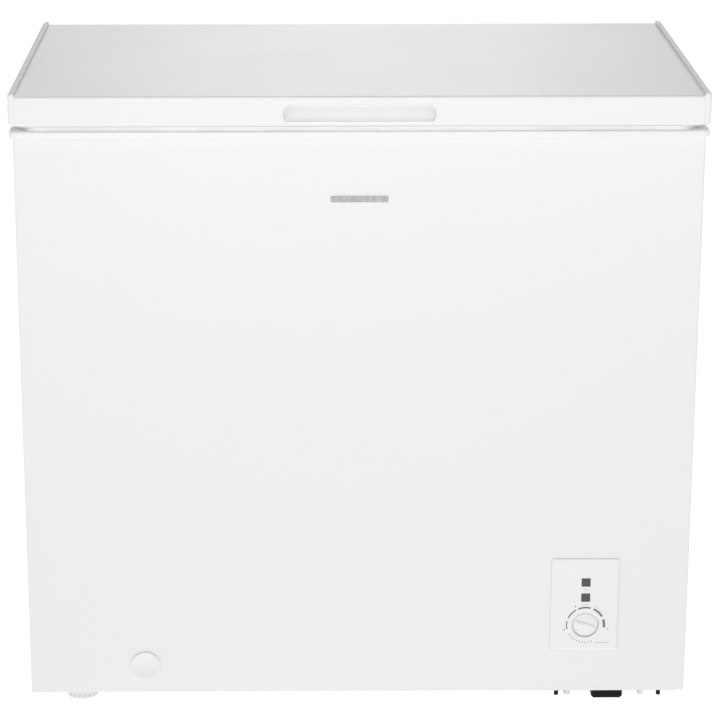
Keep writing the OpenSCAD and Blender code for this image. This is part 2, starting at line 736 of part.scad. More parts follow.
// End cap with its outer edges rounded, on the right-hand side
module lid_cap() {
    r = 4;
    seam = 0.7;      // chamfer that leaves a fine groove beside the sheet
    hull() {
        block([lid_half, front_y + seam, lid_z], [lid_half + 1, rear_y - seam, lid_top]);
        block([lid_half + seam, front_y, lid_z], [lid_half + cap_w - r, rear_y, total_h - 1]);
        block([lid_half + seam, front_y + 1, lid_z], [lid_half + cap_w - r, rear_y - 1, total_h]);
        for (y = [front_y + r, rear_y - r], z = [lid_z + r, total_h - r])
            translate([total_w / 2 - r, y, z]) sphere(r = r, $fn = 32);
    }
}

module lid_foam() color("khaki") difference() {
    union() {
        block([-lid_half, front_y + sheet + 2, lid_z + sheet],
            [lid_half, rear_y - sheet - 2, lid_top - sheet]);
        block([-lid_half, front_y + 12, lid_z], [lid_half, rear_y - 12, lid_z + sheet]);
        slab(mouth_w - 50, mouth_d - 50, 18.5, lid_z - bulge_h + 1.5, lid_z);
    }
    pocket_outline(0, front_y - 1, front_y + pocket_depth);
    for (s = [-1, 1]) translate([s * hinge_x, 0, 0]) at_leaf_screws()
        rotate([90, 0, 0]) cylinder(r = 1.9, h = 22, center = true);
}

module lid_liner() color("whitesmoke") difference() {
    union() {
        slab(2 * lid_half - 3, lid_d - 11, 8, lid_z - rim_t, lid_z);
        slab(mouth_w - 47, mouth_d - 47, 20, lid_z - bulge_h, lid_z);
    }
    slab(mouth_w - 50, mouth_d - 50, 18.5, lid_z - bulge_h + 1.5, lid_z + 1);
}

// Set back further at the sides and rear than at the front
module lid_gasket() color("gainsboro") translate([0, -3, 0]) {
    base = lid_z - rim_t;
    ring(total_w - 26, lid_d - 12, 12, 26, base - 1.5, base);
    ring(total_w - 30, lid_d - 14, 12, 16, collar_top + gap, base - 1.5);
}

// Finger pocket with an upright back wall, rounded into its floor
module handle_insert() color("white") {
    t = 1.6;
    bend = 6;
    low = pocket_z - pocket_h / 2 + t + 2;
    high = pocket_z + pocket_h / 2 - t;
    difference() {
        pocket_outline(0, front_y, front_y + pocket_depth);
        intersection() {
            pocket_outline(-t, front_y - 1, front_y + pocket_depth);
            translate([-pocket_w, 0, 0]) rotate([90, 0, 90]) linear_extrude(2 * pocket_w)
                polygon(concat([[front_y - 1, high], [front_y - 1, low]],
                    [for (a = [0 : 15 : 90]) [front_y + pocket_depth - t - bend * (1 - sin(a)),
                        low + bend * (1 - cos(a))]],
                    [[front_y + pocket_depth - t, high]]));
        }
    }
    block([-17, front_y + 11, high - 4], [17, front_y + pocket_depth - t, high]);
}

outer_wrapper();
back_panel();
bottom_pan();
top_collar();
foam_insulation();
inner_liner();
bay_shell();
control_panel();
indicator_lenses();
indicator_board();
thermostat_body();
sensor_capillary();
thermostat_shaft();
thermostat_knob();
compressor_shell();
compressor_plate();
compressor_grommets();
compressor_bolts();
relay_cover();
refrigerant_tubes();
filter_drier();
wiring_loom();
evaporator_coil();
condenser_coil();
base_plate();
base_plate_screws();
base_plate_plugs();
fixed_foot(body_front + 11);  // fixed_foot_front
fixed_foot(body_rear - 11 - block_d);  // fixed_foot_rear
foot_sockets();
levelling_foot(foot_ys[0]);  // levelling_foot_front
levelling_foot(foot_ys[1]);  // levelling_foot_rear
side_grille();
rear_cover();
rear_cover_screws();
cord_gland();
wall_spacers();
front_badge();
drain_tube();
drain_cap();
inner_drain_plug();
basket_frame();
basket_grid();
basket_grips();
color("silver") translate([-hinge_x, 0, 0]) hinge_base();  // hinge_base_left
color("silver") translate([hinge_x, 0, 0]) hinge_base();  // hinge_base_right
hinge_screws_cabinet();
hinge_springs();
spring_hooks();
color("silver") translate([-hinge_x, 0, 0]) hinge_leaf();  // hinge_leaf_left
color("silver") translate([hinge_x, 0, 0]) hinge_leaf();  // hinge_leaf_right
hinge_pins();
hinge_screws_lid();
lid_skin();
color("white") mirror([1, 0, 0]) lid_cap();  // lid_cap_left
color("white") lid_cap();  // lid_cap_right
lid_foam();
lid_liner();
lid_gasket();
handle_insert();
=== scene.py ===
"""Chest freezer: materials, detailed pieces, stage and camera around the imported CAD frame.

Metres, front towards -Y.
"""

import json
import math

import bmesh
import bpy
from mathutils import Matrix, Vector


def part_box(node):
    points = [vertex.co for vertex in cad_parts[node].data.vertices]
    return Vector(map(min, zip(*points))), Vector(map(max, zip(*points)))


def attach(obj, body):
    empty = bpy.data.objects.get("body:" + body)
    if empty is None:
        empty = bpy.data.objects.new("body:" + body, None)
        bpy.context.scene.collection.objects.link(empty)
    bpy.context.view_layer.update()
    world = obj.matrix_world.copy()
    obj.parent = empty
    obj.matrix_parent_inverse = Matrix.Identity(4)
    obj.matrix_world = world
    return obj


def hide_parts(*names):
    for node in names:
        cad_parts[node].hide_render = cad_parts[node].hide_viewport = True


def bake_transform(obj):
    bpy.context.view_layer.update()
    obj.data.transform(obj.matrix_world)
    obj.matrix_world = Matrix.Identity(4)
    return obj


MM = 0.001

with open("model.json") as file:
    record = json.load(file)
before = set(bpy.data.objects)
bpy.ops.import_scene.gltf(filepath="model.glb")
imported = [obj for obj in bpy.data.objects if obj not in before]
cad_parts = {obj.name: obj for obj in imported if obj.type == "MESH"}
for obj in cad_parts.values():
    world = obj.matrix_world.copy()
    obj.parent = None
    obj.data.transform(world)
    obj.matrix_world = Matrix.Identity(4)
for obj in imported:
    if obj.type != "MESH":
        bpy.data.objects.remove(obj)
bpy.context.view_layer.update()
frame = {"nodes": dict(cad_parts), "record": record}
scene = bpy.context.scene


# ---------------------------------------------------------------- materials


class Shader:
    """A Principled material and the procedural nodes that feed it."""

    def __init__(self, name, colour, rough, metal=0.0, coat=0.0, coat_rough=0.1, gloss=0.5):
        self.material = bpy.data.materials.new(name)
        self.material.use_nodes = True
        self.tree = self.material.node_tree
        self.bsdf = self.tree.nodes["Principled BSDF"]
        self.bsdf.inputs["Metallic"].default_value = metal
        self.bsdf.inputs["Coat Weight"].default_value = coat
        self.bsdf.inputs["Coat Roughness"].default_value = coat_rough
        self.bsdf.inputs["Specular IOR Level"].default_value = gloss
        self.bsdf.inputs["Base Color"].default_value = (*colour, 1)
        self.bsdf.inputs["Roughness"].default_value = rough
        self.colour = colour
        self.place = self.node("ShaderNodeTexCoord").outputs["Object"]
        self.normal = None

    def node(self, kind, **values):
        made = self.tree.nodes.new(kind)
        for key, value in values.items():
            setattr(made, key, value)
        return made

    def link(self, a, b):
        self.tree.links.new(a, b)

    def stretched(self, scale):
        """Object coordinates scaled by a vector, for brushed or drawn grain."""
        mapping = self.node("ShaderNodeMapping")
        mapping.inputs["Scale"].default_value = scale
        self.link(self.place, mapping.inputs["Vector"])
        return mapping.outputs["Vector"]

    def noise(self, scale, detail=3.0, rough=0.5, where=None):
        n = self.node("ShaderNodeTexNoise")
        n.inputs["Scale"].default_value = scale
        n.inputs["Detail"].default_value = detail
        n.inputs["Roughness"].default_value = rough
        self.link(where or self.place, n.inputs["Vector"])
        return n.outputs["Fac"]

    def cells(self, scale, feature="F1", output="Distance", smooth=None):
        n = self.node("ShaderNodeTexVoronoi", feature=feature)
        n.inputs["Scale"].default_value = scale
        if smooth is not None:
            n.inputs["Smoothness"].default_value = smooth
        self.link(self.place, n.inputs["Vector"])
        return n.outputs[output]

    def spread(self, source, low, high, start=0.3, end=0.7):
        """The source's start to end range mapped onto low to high."""
        n = self.node("ShaderNodeMapRange")
        for key, value in (("From Min", start), ("From Max", end), ("To Min", low), ("To Max", high)):
            n.inputs[key].default_value = value
        self.link(source, n.inputs["Value"])
        return n.outputs["Result"]

    def tint(self, source, dark, light, start=0.3, end=0.7):
        """Base colour that runs from dark to light times the material's own colour."""
        ramp = self.node("ShaderNodeValToRGB")
        first, last = ramp.color_ramp.elements
        first.position, last.position = start, end
        first.color = (*(c * dark for c in self.colour), 1)
        last.color = (*(min(1, c * light) for c in self.colour), 1)
        self.link(source, ramp.inputs["Fac"])
        self.link(ramp.outputs["Color"], self.bsdf.inputs["Base Color"])
        return self

    def roughen(self, source, low, high, start=0.3, end=0.7):
        self.link(self.spread(source, low, high, start, end), self.bsdf.inputs["Roughness"])
        return self

    def bump(self, height, strength, distance):
        """A bump layer, laid over the ones before it."""
        n = self.node("ShaderNodeBump")
        n.inputs["Strength"].default_value = strength
        n.inputs["Distance"].default_value = distance
        self.link(height, n.inputs["Height"])
        if self.normal is not None:
            self.link(self.normal, n.inputs["Normal"])
        self.normal = n.outputs["Normal"]
        self.link(self.normal, self.bsdf.inputs["Normal"])
        return self


def painted_steel(name, colour, rough):
    s = Shader(name, colour, rough, coat=0.35, coat_rough=0.16)
    s.tint(s.noise(1.4, 1), 0.985, 1.0, 0.0, 1.0)
    s.roughen(s.noise(9, 2), rough - 0.03, rough + 0.05, 0.0, 1.0)
    return s.bump(s.noise(160, 1), 0.05, 0.1 * MM)


def moulded(name, colour, rough, grain=1500, depth=0.12, coat=0.0, gloss=0.5):
    s = Shader(name, colour, rough, coat=coat, gloss=gloss)
    s.tint(s.noise(5, 4), 0.975, 1.0)
    s.roughen(s.noise(60, 4), rough - 0.05, rough + 0.06)
    return s.bump(s.noise(grain, 2, 0.6), depth, 0.1 * MM)


def galvanised(name, colour):
    s = Shader(name, colour, 0.4, metal=0.9)
    flakes = s.cells(85, "F1", "Color")
    grey = s.node("ShaderNodeSeparateColor")
    s.link(flakes, grey.inputs["Color"])
    s.tint(grey.outputs["Red"], 0.82, 1.12, 0.0, 1.0)
    s.roughen(grey.outputs["Green"], 0.3, 0.5, 0.0, 1.0)
    return s.bump(s.noise(260, 4), 0.08, 0.2 * MM)


def bright_metal(name, colour, grain=(30, 30, 900)):
    s = Shader(name, colour, 0.28, metal=1.0)
    fine = s.noise(1.0, 3, 0.6, s.stretched(grain))
    s.tint(s.noise(90, 4), 0.86, 1.04)
    s.roughen(fine, 0.2, 0.4)
    return s.bump(fine, 0.1, 0.1 * MM)


def embossed_foil(name, colour):
    """Stucco-embossed, lacquered aluminium."""
    s = Shader(name, colour, 0.34, metal=0.45, coat=0.2, coat_rough=0.2)
    pits = s.cells(210, "SMOOTH_F1", "Distance", 0.6)
    s.tint(s.noise(3, 4), 0.95, 1.0)
    s.roughen(pits, 0.28, 0.44, 0.1, 0.6)
    s.bump(s.noise(90, 2), 0.12, 1 * MM)
    return s.bump(pits, 0.55, 0.7 * MM)


def rubbery(name, colour, rough=0.62):
    s = Shader(name, colour, rough)
    s.tint(s.noise(14, 5), 0.92, 1.03)
    s.roughen(s.noise(70, 4), rough - 0.08, rough + 0.12)
    return s.bump(s.noise(1100, 3), 0.16, 0.15 * MM)


def tarnished(name, colour):
    s = Shader(name, colour, 0.3, metal=1.0)
    patches = s.noise(26, 6, 0.65)
    s.tint(patches, 0.62, 1.05, 0.35, 0.65)
    s.roughen(patches, 0.42, 0.22, 0.35, 0.65)
    return s.bump(s.noise(500, 3), 0.08, 0.1 * MM)


def black_enamel(name, colour):
    s = Shader(name, colour, 0.32, coat=0.3, coat_rough=0.2)
    s.tint(s.noise(20, 5), 0.8, 1.5)
    s.roughen(s.noise(45, 5), 0.26, 0.46)
    return s.bump(s.noise(330, 2), 0.12, 0.3 * MM)


def foam(name, colour):
    s = Shader(name, colour, 0.85)
    pores = s.cells(500)
    s.tint(s.noise(30, 5), 0.86, 1.05)
    s.roughen(s.noise(80, 3), 0.75, 0.95)
    return s.bump(pores, 0.6, 0.6 * MM)


def lens_plastic(name, colour):
    s = Shader(name, colour, 0.12, coat=0.8, coat_rough=0.05)
    s.tint(s.noise(300, 3), 0.8, 1.25)
    s.roughen(s.noise(120, 4), 0.09, 0.18)
    return s.bump(s.noise(200, 1), 0.03, 0.1 * MM)


def board(name, colour):
    s = Shader(name, colour, 0.4, coat=0.4)
    s.tint(s.cells(420), 0.55, 1.3, 0.1, 0.6)
    s.roughen(s.noise(200, 3), 0.3, 0.5)
    return s.bump(s.cells(420), 0.2, 0.1 * MM)


def ink(name, colour):
    s = Shader(name, colour, 0.5)
    s.tint(s.noise(260, 3), 0.9, 1.1)
    s.roughen(s.noise(900, 3), 0.42, 0.6)
    return s.bump(s.noise(1800, 2), 0.08, 0.05 * MM)


LOOKS = {
    "white_steel": painted_steel("white_steel", (0.9, 0.9, 0.9), 0.3),
    "back_steel": painted_steel("back_steel", (0.74, 0.75, 0.755), 0.42),
    "zinc_steel": galvanised("zinc_steel", (0.62, 0.63, 0.645)),
    "bright_steel": bright_metal("bright_steel", (0.7, 0.7, 0.69)),
    "white_plastic": moulded("white_plastic", (0.915, 0.915, 0.912), 0.36, coat=0.1),
    "liner_aluminium": embossed_foil("liner_aluminium", (0.86, 0.87, 0.87)),
    "lid_panel": moulded("lid_panel", (0.9, 0.9, 0.89), 0.44, 900, 0.16),
    "gasket_rubber": rubbery("gasket_rubber", (0.93, 0.93, 0.925)),
    "pu_foam": foam("pu_foam", (0.83, 0.74, 0.48)),
    "dark_lens": lens_plastic("dark_lens", (0.035, 0.035, 0.038)),
    "circuit_board": board("circuit_board", (0.02, 0.14, 0.05)),
    "black_paint": black_enamel("black_paint", (0.012, 0.012, 0.013)),
    "black_rubber": rubbery("black_rubber", (0.016, 0.016, 0.017), 0.7),
    "black_plastic": moulded("black_plastic", (0.007, 0.007, 0.0075), 0.5, 1100, 0.3, gloss=0.16),
    "copper": tarnished("copper", (0.72, 0.38, 0.24)),
    "grey_plastic": moulded("grey_plastic", (0.6, 0.605, 0.61), 0.46, 1200, 0.22),
    "pale_plastic": moulded("pale_plastic", (0.8, 0.8, 0.8), 0.42, 1200, 0.2),
    # A brighter copy of the white plastic: painted light that lifts the shade in the handle pocket and under
    # the lid
    "shade_lifted_plastic": moulded("shade_lifted_plastic", (0.96, 0.96, 0.957), 0.4, 1300, 0.16),
    "white_wire": moulded("white_wire", (0.88, 0.88, 0.87), 0.32, 500, 0.2, 0.4),
    "badge": bright_metal("badge", (0.36, 0.365, 0.37), (900, 30, 30)),
}
PRINT = ink("print_ink", (0.2, 0.204, 0.21)).material
FAINT = ink("faint_ink", (0.62, 0.62, 0.62)).material

# Nodes whose colour differs a little from the rest of their slot: the levelling feet are paler plastic; the
# handle insert and top collar get a brighter copy of the white plastic, painted light that lifts the shade in
# the handle pocket and under the lid
OWN_COLOUR_OR_SHADE_LIFT = {"levelling_foot_front": "pale_plastic", "levelling_foot_rear": "pale_plastic",
            "handle_insert": "shade_lifted_plastic", "top_collar": "shade_lifted_plastic"}
for part in frame["record"]["subparts"]:
    mesh = frame["nodes"][part["node"]].data
    mesh.materials.clear()
    mesh.materials.append(LOOKS[OWN_COLOUR_OR_SHADE_LIFT.get(part["node"], part["material_slot"])].material)


# ---------------------------------------------------------------- mesh building

SHARP = math.radians(32)  # edges sharper than this keep a crease


def piece(name, bm, body, slot, *stands_for, material=None):
    """Turns a bmesh into a piece of the object that rides on a body."""
    bmesh.ops.remove_doubles(bm, verts=bm.verts, dist=1e-7)
    bmesh.ops.recalc_face_normals(bm, faces=bm.faces)
    mesh = bpy.data.meshes.new(name)
    bm.to_mesh(mesh)
    bm.free()
    mesh.shade_smooth()
    mesh.set_sharp_from_angle(angle=SHARP)
    mesh.materials.append(material or LOOKS[slot].material)
    made = bpy.data.objects.new(name, mesh)
    scene.collection.objects.link(made)
    if body:
        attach(made, body)
    if stands_for:
        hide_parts(*stands_for)
    return made


def skin(bm, rings, loop=False):
    """Quads between rings of equal length. A loop closes on itself; otherwise both ends get a face."""
    rows = [[bm.verts.new(p) for p in ring] for ring in rings]
    pairs = list(zip(rows, rows[1:])) + ([(rows[-1], rows[0])] if loop else [])
    for a, b in pairs:
        for i in range(len(a)):
            j = (i + 1) % len(a)
            bm.faces.new((a[i], a[j], b[j], b[i]))
    if not loop:
        bm.faces.new(rows[0])
        bm.faces.new(rows[-1])


def middle(lo, hi):
    return (lo.x + hi.x) / 2, (lo.y + hi.y) / 2, (lo.z + hi.z) / 2


def circle(steps):
    """Angles once round."""
    return [2 * math.pi * k / steps for k in range(steps)]


def rounded(cx, cy, w, d, r, z, steps=8):
    """A rounded rectangle at height z."""
    out = []
    for qx, qy, a0 in ((1, 1, 0), (-1, 1, 90), (-1, -1, 180), (1, -1, 270)):
        for k in range(steps + 1):
            a = math.radians(a0 + 90 * k / steps)
            out.append((cx + qx * (w / 2 - r) + r * math.cos(a), cy + qy * (d / 2 - r) + r * math.sin(a), z))
    return out


def fillet(points, radius, steps=6, closed=False):
    """The path with its corners rounded."""
    pts = [Vector(p) for p in points]
    out = []
    for i, p in enumerate(pts):
        if not closed and i in (0, len(pts) - 1):
            out.append(p)
            continue
        a, b = pts[i - 1], pts[(i + 1) % len(pts)]
        u, v = (a - p).normalized(), (b - p).normalized()
        half = u.angle(v) / 2
        if abs(half - math.pi / 2) < 1e-4:
            out.append(p)
            continue
        reach = min(radius / math.tan(half), 0.49 * (a - p).length, 0.49 * (b - p).length)
        centre = p + (u + v).normalized() * (reach / math.cos(half))
        axis = u.cross(v).normalized()
        start = p + u * reach - centre
        for k in range(steps + 1):
            out.append(centre + Matrix.Rotation(-(math.pi - 2 * half) * k / steps, 3, axis) @ start)
    return out


def tube(bm, points, r, sides=10, closed=False):
    """A round wire along a path."""
    pts = [Vector(p) for p in points]
    n = len(pts)
    ways = []
    for i in range(n):
        a = pts[i - 1] if closed or i else pts[i]
        b = pts[(i + 1) % n] if closed or i < n - 1 else pts[i]
        ways.append((b - a).normalized())
    side = ways[0].orthogonal().normalized()
    rings = []
    for p, way in zip(pts, ways):
        side = (side - way * side.dot(way)).normalized()
        other = way.cross(side)
        rings.append([p + (side * math.cos(t) + other * math.sin(t)) * r for t in circle(sides)])
    skin(bm, rings, loop=closed)


def lathe(bm, profile, origin, axis, steps=96):
    """A turned shape: profile holds (radius, distance along the axis), from one end to the other."""
    w = Vector(axis).normalized()
    u = w.orthogonal().normalized()
    v = w.cross(u)
    rings = []
    for r, h in profile:
        on_axis = Vector(origin) + w * h
        rings.append([on_axis + (u * math.cos(a) + v * math.sin(a)) * max(r, 1e-6) for a in circle(steps)])
    skin(bm, rings)


def rounded_rim(r, h, bend):
    """Profile points round the front edge of a disc, from its side at h + bend to its face at h."""
    return [(r - bend + bend * math.cos(a), h + bend + bend * math.sin(a))
            for a in (math.radians(-15 * k) for k in range(7))]


def prism(bm, outline, y0, y1):
    """A flat shape given in X and Z, between two depths."""
    skin(bm, [[(x, y0, z) for x, z in outline], [(x, y1, z) for x, z in outline]])


# ---------------------------------------------------------------- control panel

PANEL_LO, PANEL_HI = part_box("control_panel")
FACE = PANEL_LO.y
KNOB_X, KNOB_Z = 0.3095, 0.113
SCALE_R = 25.5 * MM
INK_H = 0.12 * MM  # printed marks stand this far out of the face, and sink as far in


def at_dial(angle, radius):
    """A point of the dial; the angle runs clockwise from straight up."""
    a = math.radians(angle)
    return KNOB_X + radius * math.sin(a), KNOB_Z + radius * math.cos(a)


def mark(bm, outline):
    prism(bm, outline, FACE - INK_H, FACE + INK_H)


def arc_mark(bm, a0, a1, radius, thick):
    n = max(6, int(abs(a1 - a0) / 3))
    outer = [at_dial(a0 + (a1 - a0) * k / n, radius + thick / 2) for k in range(n + 1)]
    inner = [at_dial(a1 - (a1 - a0) * k / n, radius - thick / 2) for k in range(n + 1)]
    mark(bm, outer + inner)


def dot_mark(bm, x, z, r):
    mark(bm, [(x + r * math.cos(a), z + r * math.sin(a)) for a in circle(20)])


def bar_mark(bm, x0, x1, z, h):
    mark(bm, [(x0, z - h / 2), (x1, z - h / 2), (x1, z + h / 2), (x0, z + h / 2)])


def dial_scale():
    """Five arcs that thicken clockwise, a row of dots below, and three single dots outside the ring."""
    bm = bmesh.new()
    for a0, a1, thick in ((-103, -77, 1.5), (-66, -31, 1.9), (-23, 15, 2.3), (25, 61, 2.8), (72, 98, 3.4)):
        arc_mark(bm, a0, a1, SCALE_R, thick * MM)
    for k in range(9):
        dot_mark(bm, *at_dial(160 + k * 9.4, SCALE_R), 0.8 * MM)
    for angle, radius, r in ((-103.3, 29.6, 1.0), (101, 31.3, 1.0), (-27.2, 30.5, 0.9)):
        dot_mark(bm, *at_dial(angle, radius * MM), r * MM)
    piece("dial_scale", bm, "cabinet", "white_plastic", material=PRINT)


def panel_shade_line():
    """A fine grey line where the panel meets the sheet: painted shade, a dark ring standing in for the shadow
    line along the panel's edge.
    """
    sheet_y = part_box("outer_wrapper")[0].y
    x, _, z = middle(PANEL_LO, PANEL_HI)
    w, h = PANEL_HI.x - PANEL_LO.x, PANEL_HI.z - PANEL_LO.z
    corner = 4 * MM
    rings = []
    for grow, sink in ((0.03, 0.05), (0.03, -0.1), (0.35, -0.1), (0.5, 0.05)):
        out = grow * MM
        flat = rounded(x, z, w + 2 * out, h + 2 * out, corner + out, 0)
        rings.append([(p[0], sheet_y + sink * MM, p[1]) for p in flat])
    bm = bmesh.new()
    skin(bm, rings, loop=True)
    # The grey ring is painted shade along the panel's edge
    piece("panel_shade_line", bm, "cabinet", "grey_plastic")


def panel_marks():
    """Faint print: an arc outside the scale, a bar below it and one below each lamp."""
    bm = bmesh.new()
    arc_mark(bm, 25, 60, 29.4 * MM, 0.5 * MM)
    bar_mark(bm, 0.3234, 0.3424, 0.0869, 1.0 * MM)
    for z in (0.1645, 0.1425):
        bar_mark(bm, 0.3045, 0.3135, z, 0.9 * MM)
    piece("panel_marks", bm, "cabinet", "white_plastic", material=FAINT)


def knob():
    """A shallow disc with a rounded rim, a ring groove and a slim grip, and the pointer on the grip."""
    front = FACE + 0.8 * MM
    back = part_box("thermostat_knob")[1].y
    r = 15.9 * MM
    skirt = 18.1 * MM
    groove = front + 0.35 * MM
    profile = [(0, back), (skirt, back), (skirt, front + 2.6 * MM), (r + 1.2 * MM, front + 2.3 * MM),
               (r + 0.3 * MM, front + 1.9 * MM)]
    profile += rounded_rim(r, front, 1.4 * MM)
    profile += [(r - 3.2 * MM, front), (r - 3.7 * MM, groove), (r - 4.3 * MM, groove), (r - 4.8 * MM, front),
                (0, front)]
    bm = bmesh.new()
    lathe(bm, profile, (KNOB_X, 0, KNOB_Z), (0, 1, 0))

    tilt = math.radians(-70)
    along = Vector((math.sin(tilt), 0, math.cos(tilt)))
    across = Vector((along.z, 0, -along.x))

    def on_knob(w, length, r, depth, steps, shift=0.0):
        """A rounded bar laid along the grip, at a depth from the disc's front."""
        place = Vector((KNOB_X, front + depth * MM, KNOB_Z))
        return [place + across * x + along * (z + shift) for x, z, _ in rounded(0, 0, w, length, r, 0, steps)]

    grip = ((0.3, 0.0), (0.0, 0.0), (-1.1, -0.15), (-1.75, -0.45), (-2.05, -1.0))
    skin(bm, [on_knob((5.2 + 2 * grow) * MM, (28 + 2 * grow) * MM, (2.5 + grow) * MM, depth, 8)
              for depth, grow in grip])
    piece("knob_moulding", bm, "thermostat_knob", "white_plastic", "thermostat_knob")

    bm = bmesh.new()
    skin(bm, [on_knob(0.9 * MM, 9 * MM, 0.4 * MM, depth, 4, 7.5 * MM) for depth in (-1.9, -2.12)])
    piece("knob_pointer", bm, "thermostat_knob", "white_plastic", material=FAINT)


dial_scale()
panel_shade_line()
panel_marks()
knob()

# ---------------------------------------------------------------- drain cap


def drain_button():
    """A flat cap with a rounded rim and a slightly sunk face, on a short plug."""
    lo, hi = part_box("drain_cap")
    x, _, z = middle(lo, hi)
    r = (hi.x - lo.x) / 2
    front, seat, field = lo.y, lo.y + 2.1 * MM, lo.y + 0.3 * MM
    plug_r, bend = 7.4 * MM, 1.3 * MM
    profile = [(0, hi.y), (plug_r - 0.5 * MM, hi.y), (plug_r, hi.y - 1 * MM), (plug_r, seat),
               (r - 0.2 * MM, seat), (r, seat - 0.2 * MM), (r, front + bend)]
    profile += rounded_rim(r, front, bend)
    profile += [(r - 3.2 * MM, front), (r - 3.8 * MM, field), (0, field)]
    bm = bmesh.new()
    lathe(bm, profile, (x, 0, z), (0, 1, 0))
    piece("drain_button", bm, "drain_cap", "white_plastic", "drain_cap")


drain_button()

# ---------------------------------------------------------------- basket


def basket_wires():
    """A rim, U-shaped wires both ways, and four rings inside them."""
    rim_lo, rim_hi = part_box("basket_frame")
    grid_lo, grid_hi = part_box("basket_grid")
    rim_r = (rim_hi.z - rim_lo.z) / 2
    x0, y0, rim_z = middle(rim_lo, rim_hi)
    rim_x, rim_y = (rim_hi.x - rim_lo.x) / 2 - rim_r, (rim_hi.y - rim_lo.y) / 2 - rim_r
    wire = 1.5 * MM
    wall_x, wall_y = 0.121 - wire, (grid_hi.y - grid_lo.y) / 2 - wire
    low = grid_lo.z + wire
    bend = 9 * MM
    edge = 0.97  # how far out the outermost wires stand, as a share of the wall's half width

    def oblong(w, d, z):
        return [(x0 - w, y0 - d, z), (x0 + w, y0 - d, z), (x0 + w, y0 + d, z), (x0 - w, y0 + d, z)]

    def spaced(count, half):
        """Evenly spaced places across a wall, from one side to the other."""
        return [half * (2 * k / (count - 1) - 1) * edge for k in range(count)]

    bm = bmesh.new()
    tube(bm, fillet(oblong(rim_x, rim_y, rim_z), 7 * MM, 6, True), rim_r, 14, True)
    for x in (x0 + place for place in spaced(8, wall_x)):
        floor = low + 2 * wire
        path = [(x, y0 - rim_y, rim_z), (x, y0 - wall_y, rim_z), (x, y0 - wall_y, floor),
                (x, y0 + wall_y, floor), (x, y0 + wall_y, rim_z), (x, y0 + rim_y, rim_z)]
        tube(bm, fillet(path, bend, 5), wire, 8)
    for y in (y0 + place for place in spaced(12, wall_y)):
        shoulder, waist = rim_z - 10 * MM, rim_z - 24 * MM
        half = ((rim_x, rim_z), (rim_x, shoulder), (wall_x, waist), (wall_x, low))
        path = [(x0 - x, y, z) for x, z in half] + [(x0 + x, y, z) for x, z in reversed(half)]
        tube(bm, fillet(path, bend, 5), wire, 8)
    for k in range(1, 5):
        inner = oblong(wall_x - 2 * wire, wall_y - 2 * wire, low + k * (rim_z - low) / 5)
        tube(bm, fillet(inner, 10 * MM, 5, True), wire, 8, True)
    piece("basket_wires", bm, "basket", "white_wire", "basket_frame", "basket_grid")


basket_wires()

# ---------------------------------------------------------------- hinge springs


def spring_coils():
    """One coil spring at each hinge, stretched between the cabinet and the hooks."""
    lo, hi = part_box("hinge_springs")
    inset = 0.9 * MM
    coil_r = (hi.y - lo.y) / 2 - inset
    y = (hi.y + lo.y) / 2
    bottom, top = lo.z + 1 * MM, hi.z - 1 * MM
    turns, points = 25, 16
    bm = bmesh.new()
    for side in (-1, 1):
        x = side * (hi.x - coil_r - inset)
        path = []
        for k in range(turns * points + 1):
            a = 2 * math.pi * k / points
            z = bottom + (top - bottom) * k / (turns * points)
            path.append((x + coil_r * math.cos(a), y + coil_r * math.sin(a), z))
        tube(bm, path, 0.85 * MM, 7)
    coils = piece("spring_coils", bm, None, "bright_steel", "hinge_springs")
    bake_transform(coils)


spring_coils()

# ---------------------------------------------------------------- compressor


def compressor_can():
    """Two domed halves with a welded belt between them."""
    lo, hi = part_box("compressor_shell")
    x, y, z = middle(lo, hi)
    r = (hi.x - lo.x) / 2
    upper_r = r - 1 * MM
    dome = 34 * MM
    belt = z + 8 * MM
    quarter = [math.radians(6 * k) for k in range(16)]
    profile = [(r * math.sin(a), lo.z + dome - dome * math.cos(a)) for a in quarter]
    profile += [(r, belt - 5 * MM), (r + 0.4 * MM, belt - 4 * MM), (r + 2.2 * MM, belt - 1.4 * MM),
                (r + 2.2 * MM, belt + 0.6 * MM), (r + 0.6 * MM, belt + 1.6 * MM), (upper_r, belt + 2 * MM)]
    profile += [(upper_r * math.sin(a), hi.z - dome + dome * math.cos(a)) for a in reversed(quarter)]
    bm = bmesh.new()
    lathe(bm, profile, (x, y, 0), (0, 0, 1))
    piece("compressor_can", bm, "cabinet", "black_paint", "compressor_shell")


compressor_can()

# ---------------------------------------------------------------- lid's inside


def lid_inner_panel():
    """A thin rim that covers the foam's edge, and a bulge with a shallow field in its middle."""
    lo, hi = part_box("lid_liner")
    y = (lo.y + hi.y) / 2
    base, deep = hi.z - 1.6 * MM, lo.z
    field = deep + 1.2 * MM
    rim_w, rim_d = hi.x - lo.x + 2.4 * MM, hi.y - lo.y + 4 * MM
    bulge_w, bulge_d = 0.742, 0.364
    levels = [(rim_w, rim_d, 8, hi.z), (rim_w, rim_d, 8, base + 0.4 * MM),
              (rim_w - 1.4 * MM, rim_d - 1 * MM, 7.5, base)]
    # how far the outline grows past the bulge, its corner radius, and its height
    contour = ((5, 30, base), (2, 28, base - 0.5 * MM), (0, 26, base - 2 * MM), (-3, 23, deep + 4 * MM),
               (-4.5, 22, deep + 1.5 * MM), (-7.5, 20, deep + 0.3 * MM), (-10.5, 17, deep), (-51, 24, deep),
               (-53, 22, deep + 0.3 * MM), (-55.5, 20, deep + 0.9 * MM), (-57.5, 18, field))
    levels += [(bulge_w + 2 * grow * MM, bulge_d + 2 * grow * MM, r, z) for grow, r, z in contour]
    levels.append((0.2, 0.08, 10, field))
    bm = bmesh.new()
    skin(bm, [rounded(0, y, w, d, r * MM, z, 10) for w, d, r, z in levels])
    piece("lid_inner_panel", bm, "lid", "lid_panel", "lid_liner")


